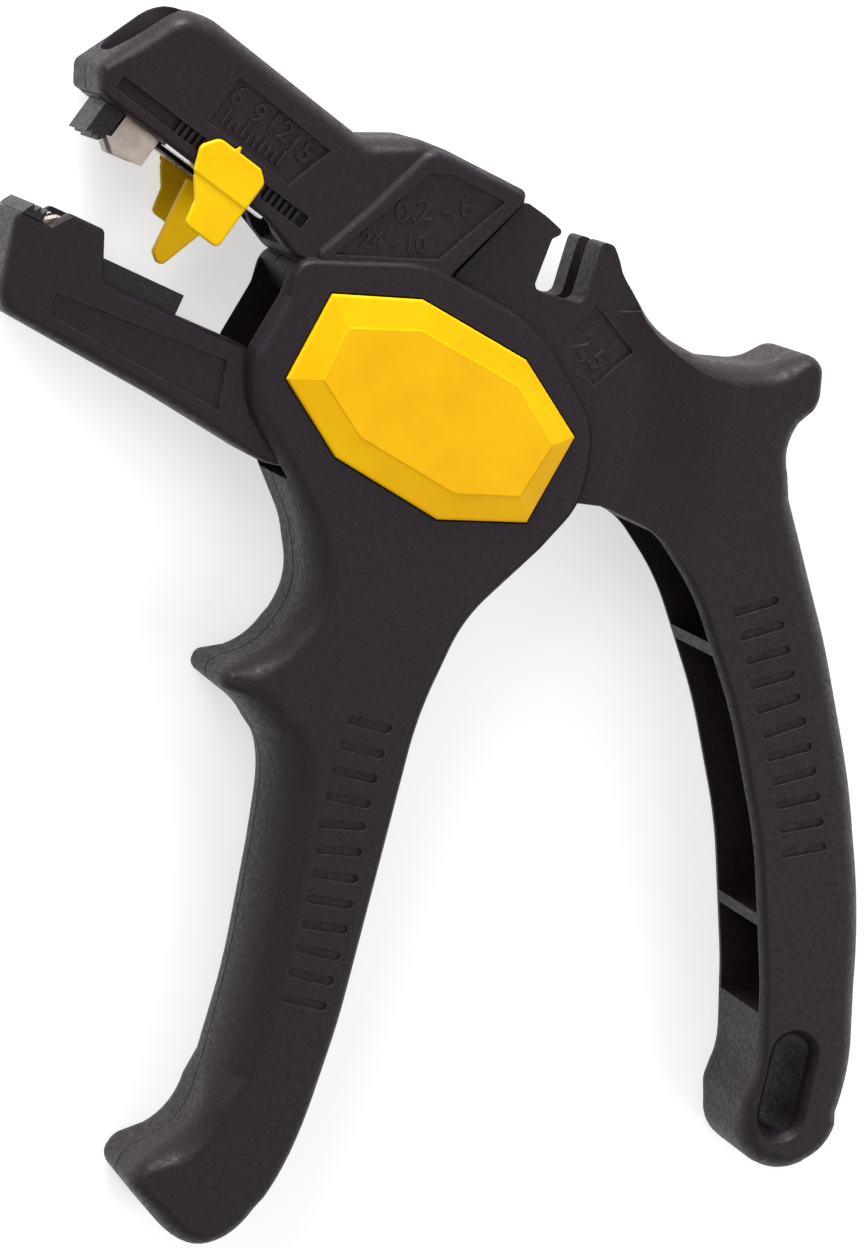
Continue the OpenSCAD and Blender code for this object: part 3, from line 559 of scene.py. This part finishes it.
def rubber(name):
    """Dull dark rubber with a fine grain."""
    mat, tree, shader = new_material(name)
    tree.links.new(ramp(tree, noise(tree, 800, 4), 0.03, 0.055), shader.inputs["Base Color"])
    tree.links.new(ramp(tree, noise(tree, 1500, 3), 0.7, 0.85), shader.inputs["Roughness"])
    bump(tree, shader, [(noise(tree, 3000, 2), 0.3, 0.03)])
    return mat


def floor_material():
    """White floor that shows white to the camera and keeps the object's shadow."""
    mat, tree, shader = new_material("floor_white")
    tree.links.new(ramp(tree, noise(tree, 6, 3), 0.8, 0.83), shader.inputs["Base Color"])
    shader.inputs["Roughness"].default_value = 0.9
    shader.inputs["Specular IOR Level"].default_value = 0.1
    add = tree.nodes.new("ShaderNodeAddShader")
    glow = tree.nodes.new("ShaderNodeEmission")
    tree.links.new(seen_rays(tree, 0.55), glow.inputs["Strength"])
    tree.links.new(shader.outputs["BSDF"], add.inputs[0])
    tree.links.new(glow.outputs["Emission"], add.inputs[1])
    tree.links.new(add.outputs["Shader"], tree.nodes["Material Output"].inputs["Surface"])
    return mat


def seen_rays(tree, strength):
    """The strength for camera, glossy and transmission rays, and zero for all others."""
    path = tree.nodes.new("ShaderNodeLightPath")
    total = path.outputs["Is Camera Ray"]
    for name in ("Is Glossy Ray", "Is Transmission Ray"):
        add = tree.nodes.new("ShaderNodeMath")
        add.operation = "ADD"
        add.use_clamp = True
        tree.links.new(total, add.inputs[0])
        tree.links.new(path.outputs[name], add.inputs[1])
        total = add.outputs["Value"]
    scale = tree.nodes.new("ShaderNodeMath")
    scale.operation = "MULTIPLY"
    scale.inputs[1].default_value = strength
    tree.links.new(total, scale.inputs[0])
    return scale.outputs["Value"]


# Figures and marks

def figures(text, size, at, angle, z, place=as_is):
    """Raised figures on a panel's floor, centred on a point."""
    curve = bpy.data.curves.new("figures", "FONT")
    curve.body = text
    curve.size = size
    curve.align_x = "CENTER"
    curve.align_y = "CENTER"
    curve.extrude = FIGURE_H / 2
    curve.bevel_depth = 0.05
    curve.bevel_resolution = 1
    curve.resolution_u = 5
    source = bpy.data.objects.new("figures", curve)
    bpy.context.scene.collection.objects.link(source)
    deps = bpy.context.evaluated_depsgraph_get()
    mesh = bpy.data.meshes.new_from_object(source.evaluated_get(deps))
    bpy.data.objects.remove(source)
    spin = turned(at, angle)
    for v in mesh.vertices:
        v.co = Vector(place(spin((v.co.x, v.co.y, z + v.co.z)))) * MM
    obj = bpy.data.objects.new("figures", mesh)
    bpy.context.scene.collection.objects.link(obj)
    return obj


def along(path, pitch, count):
    """Points at equal steps along a path, with the path's direction in degrees."""
    out = []
    step, gone = 0.0, 0.0
    for a, b in zip(path, path[1:]):
        size = math.hypot(b[0] - a[0], b[1] - a[1])
        while step <= gone + size and len(out) < count:
            s = (step - gone) / size
            out.append(((a[0] + (b[0] - a[0]) * s, a[1] + (b[1] - a[1]) * s),
                        math.degrees(math.atan2(b[1] - a[1], b[0] - a[0]))))
            step += pitch
        gone += size
    return out


def grip_bars(path, z_face):
    """Plain bars across a handle, cut as one tool with the bars apart."""
    return joined([prism(stadium(MARK_L, MARK_W), z_face - MARK_DEPTH, z_face + 2, turned(at, angle + 90))
                   for at, angle in along(path, MARK_PITCH, MARK_COUNT)])


def scale_ticks():
    """Ten ticks of the rule, 1 mm apart, with long ones at 6, 9, 12 and 15."""
    parts = []
    for i in range(10):
        u = TICK_U0 + i
        end = TICK_SHORT if i % 3 else TICK_LONG
        parts.append(box(u - TICK_HALF_W, u + TICK_HALF_W, TICK_V0, end, JAW_Z1 - 0.5, JAW_Z1 - 0.12,
                         on_upper))
    return parts


# Body

def half_body():
    """The front half of the body, without what only the front side has."""
    shell = pillow("half", rounded(HUB), MID, BODY_T, rise=HIGH_RISE, steps=8, parting=PARTING)
    jaw = pillow("jaw", rounded(JAW), MID, JAW_Z1, place=on_upper, rise=LOW_RISE, parting=PARTING)
    pad = pillow("pad", rounded(JAW_PAD), MID + 5, JAW_Z1 + 0.7, place=on_upper)
    boolean(shell, [jaw, pad], "UNION")
    hollows = half_hollows()
    seat = pillow("tool", [(x, y, 0.01) for x, y in grown(BADGE, 0.25)], BODY_T - BADGE_SEAT, BODY_T + 2)
    boolean(shell, hollows + [seat])
    boolean(shell, [box(-61.2, -31, GROOVE_V, GROOVE_V + GROOVE_H, JAW_Z1 - 1.2, JAW_Z1 + 1, on_upper),
                    nose_pocket()])
    return shell


def half_hollows():
    """Room in a half for the mechanism, with the screws' bosses left standing."""
    hollow = prism(HUB_HOLLOW, INSIDE_Z0, INSIDE_Z1)
    jaw_hollow = prism(JAW_HOLLOW, INSIDE_Z0, JAW_Z1 - WALL + 0.2, on_upper)
    boolean(hollow, [rod(p, SCREW_BOSS_R, 0, BODY_T) for p in SCREWS])
    boolean(jaw_hollow, [rod(SCREWS[3], SCREW_BOSS_R, 0, BODY_T)])
    channel = box(-61.6, -31, 0, 10.3, INSIDE_Z0, MID + CHANNEL_W / 2, on_upper)
    bar_way = box(-40, 12, BAR_V - BAR_WAY, BAR_V + BAR_WAY, INSIDE_Z0, MID + 3, on_upper)
    return [hollow, jaw_hollow, channel, bar_way, sector(MAIN_PIN, 24, -66, 92, INSIDE_Z0, INSIDE_Z1),
            sector(MAIN_PIN, 42, -66, 66, INSIDE_Z0, INSIDE_Z1),
            sector(JAW_PIN, 44, 112, 192, INSIDE_Z0, INSIDE_Z1)]


def nose_pocket():
    """The oval hollow in the sloping end of the upper jaw, drawn across the tool's thickness."""
    start, stop = Vector(NOSE_LOW), Vector(NOSE_HIGH)
    run = (stop - start).normalized()
    out = Vector((-run.y, run.x))
    half = (stop - start).length / 2
    middle = (start + stop) / 2
    oval = []
    for i in range(36):
        a = 2 * math.pi * i / 36
        x, y = math.cos(a), math.sin(a)
        x = math.copysign(abs(x) ** 0.8, x) * half
        oval.append((x, MID + math.copysign(abs(y) ** 0.8, y) * NOSE_HALF_W))
    rings = []
    for depth, size in NOSE_RINGS:
        places = [(middle + run * x * size - out * depth, MID + (z - MID) * size) for x, z in oval]
        rings.append([(flat.x, flat.y, z) for flat, z in places])
    return from_rings("tool", rings, on_upper)


def rack_teeth():
    """Teeth on the floor of the length stop's groove."""
    return [box(RACK_U0 + RACK_PITCH * i, RACK_U1 + RACK_PITCH * i, GROOVE_V - 0.2,
                GROOVE_V + GROOVE_H + 0.2, JAW_Z1 - 1.3, JAW_Z1 - 0.5, on_upper)
            for i in range(RACK_TEETH)]


def shells(black):
    """The two half shells and the rack that is moulded in each groove."""
    front = half_body()
    rear = mirrored(front, "shell_rear")
    front.name = "shell_front"
    rule_panel = wedge(RULE_PANEL, JAW_Z1, [0.3, 0.5, 0.7, 0.55], on_upper)
    wire_panel = prism(WIRE_PANEL, JAW_Z1 + 0.15, JAW_Z1 + 3, on_upper)
    boolean(front, [rule_panel, wire_panel, grip_bars(FRONT_MARKS, BODY_T)])
    counterbores = [rod(p, COUNTERBORE_R, -1, COUNTERBORE_Z1, 32) for p in SCREWS]
    rear_bars = grip_bars(FRONT_MARKS, BODY_T)
    rear_tool = mirrored(rear_bars, "tool")
    bpy.data.objects.remove(rear_bars)
    boolean(rear, counterbores + [rear_tool])
    teeth = joined(rack_teeth(), "rack_front")
    teeth_rear = mirrored(teeth, "rack_rear")
    for obj, node in ((front, "front_shell"), (rear, "rear_shell")):
        dress(finish_mesh(obj), "body", "black_plastic", black, node)
    for obj in (teeth, teeth_rear):
        dress(finish_mesh(obj), "body", "black_plastic", black)


def scale_marks(black):
    """The plain numbers and ticks of the length rule and of the wire sizes."""
    parts = scale_ticks()
    for text, at in RULE_FIGURES:
        parts.append(figures(text, 3.9, at, 0, JAW_Z1 - 0.45, on_upper))
    parts.append(figures("0,2 - 6", 4.1, (-2.2, 26.9), 3, JAW_Z1 + 0.2))
    parts.append(figures("24 - 10", 3.1, (-7.7, 22.9), -7, JAW_Z1 + 0.2))
    dress(finish_mesh(joined(parts, "scale_figures")), "body", "black_plastic", black)


def badges(yellow):
    """Front badge with a raised inner face, and the flat one at the rear."""
    moves = inward(BADGE)
    steps = ((0, BODY_T - BADGE_SEAT), (0, BODY_T + 0.3), (0.12, BODY_T + 0.48), (0.35, BODY_T + 0.56))
    rings = [ring_in(BADGE, moves, k, z) for k, z in steps]
    rings.append([(x, y, BODY_T + 1.1) for x, y in grown(BADGE_TOP, 0.15)])
    rings.append([(x, y, BODY_T + 1.2) for x, y in BADGE_TOP])
    front = from_rings("badge_front", rings)
    rear_steps = ((0.5, 0), (0.35, 0.02), (0, 0.2), (0, BADGE_SEAT))
    rear = from_rings("badge_rear", [ring_in(BADGE, moves, k, z) for k, z in rear_steps])
    dress(finish_mesh(front, 8), "body", "yellow_badge", yellow, "front_badge")
    dress(finish_mesh(rear, 8), "body", "yellow_badge", yellow, "rear_badge")


# Lever

def lever_hollow():
    """What the lever's outer wall leaves open towards the handle, without its cross ribs."""
    wall = inward(LEVER)
    inner = [(LEVER[i][0] + wall[i][0] * LEVER_WALL, LEVER[i][1] + wall[i][1] * LEVER_WALL)
             for i in range(17, 20)]
    pts = [(30, -82), (52.2, -82)] + inner + [(44.8, -16), (20, -16), (20, -40)]
    hollow = prism(pts, LEVER_FLOOR, BODY_T - LEVER_FLOOR)
    ribs = [box(-4, 20, -0.8, 0.8, 1, BODY_T - 1, turned((x, y), a)) for x, y, a in LEVER_RIBS]
    keep = prism(rounded(LEVER, 4), 0.5, BODY_T - 0.5)
    for rib in ribs:
        boolean(rib, [copy_of(keep)], "INTERSECT")
    bpy.data.objects.remove(keep)
    boolean(hollow, ribs)
    return hollow


def copy_of(obj):
    twin = bpy.data.objects.new(obj.name, obj.data.copy())
    bpy.context.scene.collection.objects.link(twin)
    return twin


def cheek_cut(z_inner, z_outer):
    """Thins the lever round the hub, rising softly to its full thickness."""
    rise = z_outer - z_inner
    rings = []
    for more, z in ((0, z_inner), (3, z_inner + rise * 0.3), (8, z_inner + rise * 0.8),
                    (13, z_outer), (13, z_outer + rise * 0.2)):
        rings.append([(x, y, z) for x, y in circle(MAIN_PIN, CHEEK_R + more, 120)])
    if z_outer < z_inner:
        rings = rings[::-1]
    return from_rings("tool", rings)


def lanyard_slot():
    """The slot with a countersunk rim at both faces."""
    place = turned(LANYARD, LANYARD_TILT + 90)
    rings = []
    for grow, z in ((1.6, -0.6), (0.25, 1.0), (0, 2.0), (0, 18), (0.25, 19), (1.6, 20.6)):
        rings.append([(x, y, z) for x, y in stadium(LANYARD_L + 2 * grow, LANYARD_W + 2 * grow, 12)])
    return from_rings("tool", rings, place)


def inner_ways():
    """Room in the lever for the dowel's boss as the lever swings, and for the return spring."""
    arc = [(BOSS_WAY_R0, a) for a in range(-115, -64, 5)]
    arc += [(BOSS_WAY_R1, a) for a in range(-65, -116, -5)]
    boss = prism([(r * math.cos(math.radians(a)), r * math.sin(math.radians(a))) for r, a in arc],
                 -1, BODY_T + 1)
    a = math.radians(DOWEL_ANGLE)
    dowel = rod((DOWEL_R0 * math.sin(a), -DOWEL_R0 * math.cos(a)), DOWEL_WAY_R, -1, BODY_T + 1)
    return [boss, dowel, rod(MAIN_PIN, SPRING_WAY_R, SPRING_WAY_Z0, BODY_T + 1),
            box(*SPRING_LEG, SPRING_LEG_Z0, BODY_T + 1)]


def lever(black):
    """The grip lever, with its figures joined in."""
    obj = pillow("lever", rounded(LEVER), 0, BODY_T, both=True, rise=HIGH_RISE, steps=8)
    cuts = [cheek_cut(INNER_Z1, BODY_T), cheek_cut(INNER_Z0, 0.0)]
    cuts += [prism(LEVER_THIN, INNER_Z1, BODY_T + 2), prism(LEVER_THIN, -2, INNER_Z0)]
    boolean(obj, cuts)
    label = wedge(LABEL, INNER_Z1, [0.0, 0.35, 0.6, 0.35])
    boolean(obj, [lever_hollow(), lanyard_slot(), rod(MAIN_PIN, CHEEK_R + 0.9, SLOT_Z0, SLOT_Z1, 96),
                  rod(MAIN_PIN, LEVER_BORE_R, -1, BODY_T + 1),
                  sector(MAIN_PIN, 34, 30, 60, SLOT_Z0, SLOT_Z1), label])
    boolean(obj, inner_ways())
    bars = grip_bars(LEVER_MARKS, BODY_T)
    boolean(obj, [bars, mirrored(bars, "tool")])
    obj = joined([obj, figures("2,5", 4.2, (19.4, 7.6), -47, INNER_Z1 - 0.24)], "lever")
    dress(finish_mesh(obj), "lever", "black_plastic", black, "grip_lever")


# Lower jaw

def lower_jaw(black):
    """The lower jaw, open as at rest, with its channel, its smooth panel and the arm's slot."""
    obj = pillow("jaw_lower", rounded(LOWER), INNER_Z0, INNER_Z1, both=True, place=on_lower, rise=THIN_RISE)
    boolean(obj, [rod(JAW_PIN, JAW_HUB_R, INNER_Z0 + 0.1, INNER_Z1 - 0.1, 64)], "UNION")
    boolean(obj, [prism(LOWER_CHANNEL, MID - CHANNEL_W / 2, MID + CHANNEL_W / 2, on_lower),
                  box(-64.4, -57.3, -0.7, 20, 0, BODY_T, on_lower),
                  prism(LOWER_PANEL, INNER_Z1 - 0.5, INNER_Z1 + 1, on_lower),
                  rod(JAW_PIN, JAW_BORE_R, 0, BODY_T)])
    boolean(obj, [rod(JAW_PIN, ARM_HUB_R, ARM_Z0, ARM_Z1, 48),
                  box(0, 9, -8, 8, ARM_Z0, ARM_Z1, turned(JAW_PIN, ARM_TILT + JAW_OPEN / 2))])
    dress(finish_mesh(obj), "jaw", "black_plastic", black, "lower_jaw")


# Length stop

def length_stop(yellow):
    """A saddle over the rail, alike on both sides, with a tongue in the mouth."""
    z = MID + 8.9
    leg = pillow("leg", rounded(STOP_LEG, 4), z, z + 0.9, both=True, place=on_upper, steps=3)
    cap = pillow("cap", rounded(STOP_CAP, 4), z + 0.3, z + 1.1, place=on_upper, steps=3)
    nub = prism(STOP_NUB, z + 0.2, z + 1, on_upper)
    rib = box(-47, -39.4, GROOVE_V + 0.2, GROOVE_V + GROOVE_H - 0.2, z - 0.45, z + 0.3, on_upper)
    web = box(-40.8, -38.5, 3, 4.9, MID - 0.5, z + 0.4, on_upper)
    boolean(leg, [cap, nub, rib, web], "UNION")
    twin = mirrored(leg, "leg_rear")
    tongue = pillow("tongue", rounded(STOP_TONGUE, 4), MID - 0.8, MID + 0.8, both=True, place=on_upper,
                    steps=3)
    boolean(leg, [twin, tongue], "UNION")
    leg.name = "stop_saddle"
    dress(finish_mesh(leg), "stop", "yellow_stop", yellow, "length_stop")


# Small pieces of the photograph

def rail_strips(metal):
    """Steel strips under the two walls of the upper jaw's rail."""
    strips = [box(*RAIL_STRIP, z0, z1, on_upper) for z0, z1 in RAIL_STRIP_ENDS]
    dress(finish_mesh(joined(strips, "rail_strips")), "body", "bright_steel", metal)


def carry_over(materials):
    """Procedural materials for the CAD nodes that stay."""
    for entry in frame["record"]["subparts"]:
        obj = frame["nodes"].get(entry["node"])
        material = materials.get(entry["material_slot"])
        if obj is None or material is None:
            continue
        if not obj.material_slots:
            obj.data.materials.append(material)
        for slot in obj.material_slots:
            slot.material = material


# Stage

CAMERA_LEFT, CAMERA_ABOVE, CAMERA_AWAY = 16, 9.5, 0.7
CAMERA_AIM = (0.136, -28.363, 10)
FLOOR_HALF, FLOOR_Z = 3, -0.0002
LAMPS = (("key", (-0.4, 0.55, 0.6), (0, -0.03, 0.01), 0.5, 2.2),
         ("top", (-0.06, 0.9, 0.15), (0, 0, 0.01), 0.4, 15.0),
         ("fill", (0.5, -0.3, 0.7), (0, -0.03, 0.01), 0.7, 2.0))


def camera():
    """The photo's view, from the left and from above."""
    a, b = math.radians(CAMERA_LEFT), math.radians(CAMERA_ABOVE)
    back = Vector((-math.sin(a) * math.cos(b), math.sin(b), math.cos(a) * math.cos(b)))
    right = Vector((math.cos(a), 0, math.sin(a)))
    up = back.cross(right)
    data = bpy.data.cameras.new("camera")
    data.lens = 221.2
    data.sensor_width = 36
    data.sensor_fit = "HORIZONTAL"
    data.clip_start = 0.01
    obj = bpy.data.objects.new("camera", data)
    bpy.context.scene.collection.objects.link(obj)
    turn = Matrix((right, up, back)).transposed().to_4x4()
    place = Vector(CAMERA_AIM) * MM + back * CAMERA_AWAY
    obj.matrix_world = Matrix.Translation(place) @ turn
    bpy.context.scene.camera = obj


def area_light(name, at, aim, size, power):
    data = bpy.data.lights.new(name, "AREA")
    data.shape = "DISK"
    data.size = size
    data.energy = power
    obj = bpy.data.objects.new(name, data)
    bpy.context.scene.collection.objects.link(obj)
    obj.location = at
    obj.rotation_euler = (Vector(aim) - Vector(at)).to_track_quat("-Z", "Y").to_euler()


def stage():
    """White floor and backdrop, and three lamps."""
    half = FLOOR_HALF
    floor = from_faces("floor", [(-half, -half, 0), (half, -half, 0), (half, half, 0), (-half, half, 0)],
                       [(0, 1, 2, 3)])
    floor.location.z = FLOOR_Z
    floor.data.materials.append(floor_material())
    backdrop()
    for lamp in LAMPS:
        area_light(*lamp)
    bpy.context.scene.view_settings.view_transform = "Standard"


def backdrop():
    """Plain light on the object, and a white background for the camera and for mirror rays."""
    world = bpy.data.worlds.new("world")
    bpy.context.scene.world = world
    world.use_nodes = True
    tree = world.node_tree
    background = tree.nodes["Background"]
    background.inputs["Color"].default_value = (1, 1, 1, 1)
    lift = tree.nodes.new("ShaderNodeMath")
    lift.operation = "ADD"
    lift.inputs[1].default_value = 0.4
    tree.links.new(seen_rays(tree, 0.6), lift.inputs[0])
    tree.links.new(lift.outputs["Value"], background.inputs["Strength"])


def main():
    camera()
    stage()
    # The last colour of each plastic is the lighter grey of its painted edge sheen
    black = plastic("black_plastic", (0.0075, 0.0032, 0.0068), (0.016, 0.0092, 0.015), (0.06, 0.055, 0.06))
    insert = plastic("black_insert", (0.01, 0.009, 0.01), (0.02, 0.018, 0.02), (0.05, 0.046, 0.05),
                     grain=2600, depth=0.04, rough=(0.38, 0.55))
    badge = gloss_yellow("yellow_badge", (0.93, 0.49, 0.001), (0.99, 0.55, 0.002), 0.36)
    stop = gloss_yellow("yellow_stop", (0.95, 0.54, 0.001), (1.0, 0.62, 0.002), 0.4)
    bright = steel("bright_steel", (0.55, 0.55, 0.56), (0.68, 0.68, 0.69), 0.28, (1, 6, 1))
    blades = steel("blade_steel", (0.22, 0.17, 0.14), (0.42, 0.36, 0.32), 0.34, (1, 1, 8))
    materials = {
        "black_plastic": black, "black_insert": insert, "yellow_badge": badge, "yellow_stop": stop,
        "bright_steel": bright, "blade_steel": blades,
        "spring_steel": steel("spring_steel", (0.4, 0.4, 0.41), (0.55, 0.55, 0.56), 0.3),
        "screw_steel": steel("screw_steel", (0.42, 0.42, 0.44), (0.58, 0.58, 0.6), 0.33),
        "bronze": steel("bronze", (0.42, 0.27, 0.12), (0.6, 0.42, 0.2), 0.42),
        "pad_rubber": rubber("pad_rubber"),
    }
    carry_over(materials)
    shells(black)
    scale_marks(black)
    badges(badge)
    lever(black)
    lower_jaw(black)
    length_stop(stop)
    rail_strips(bright)


main()
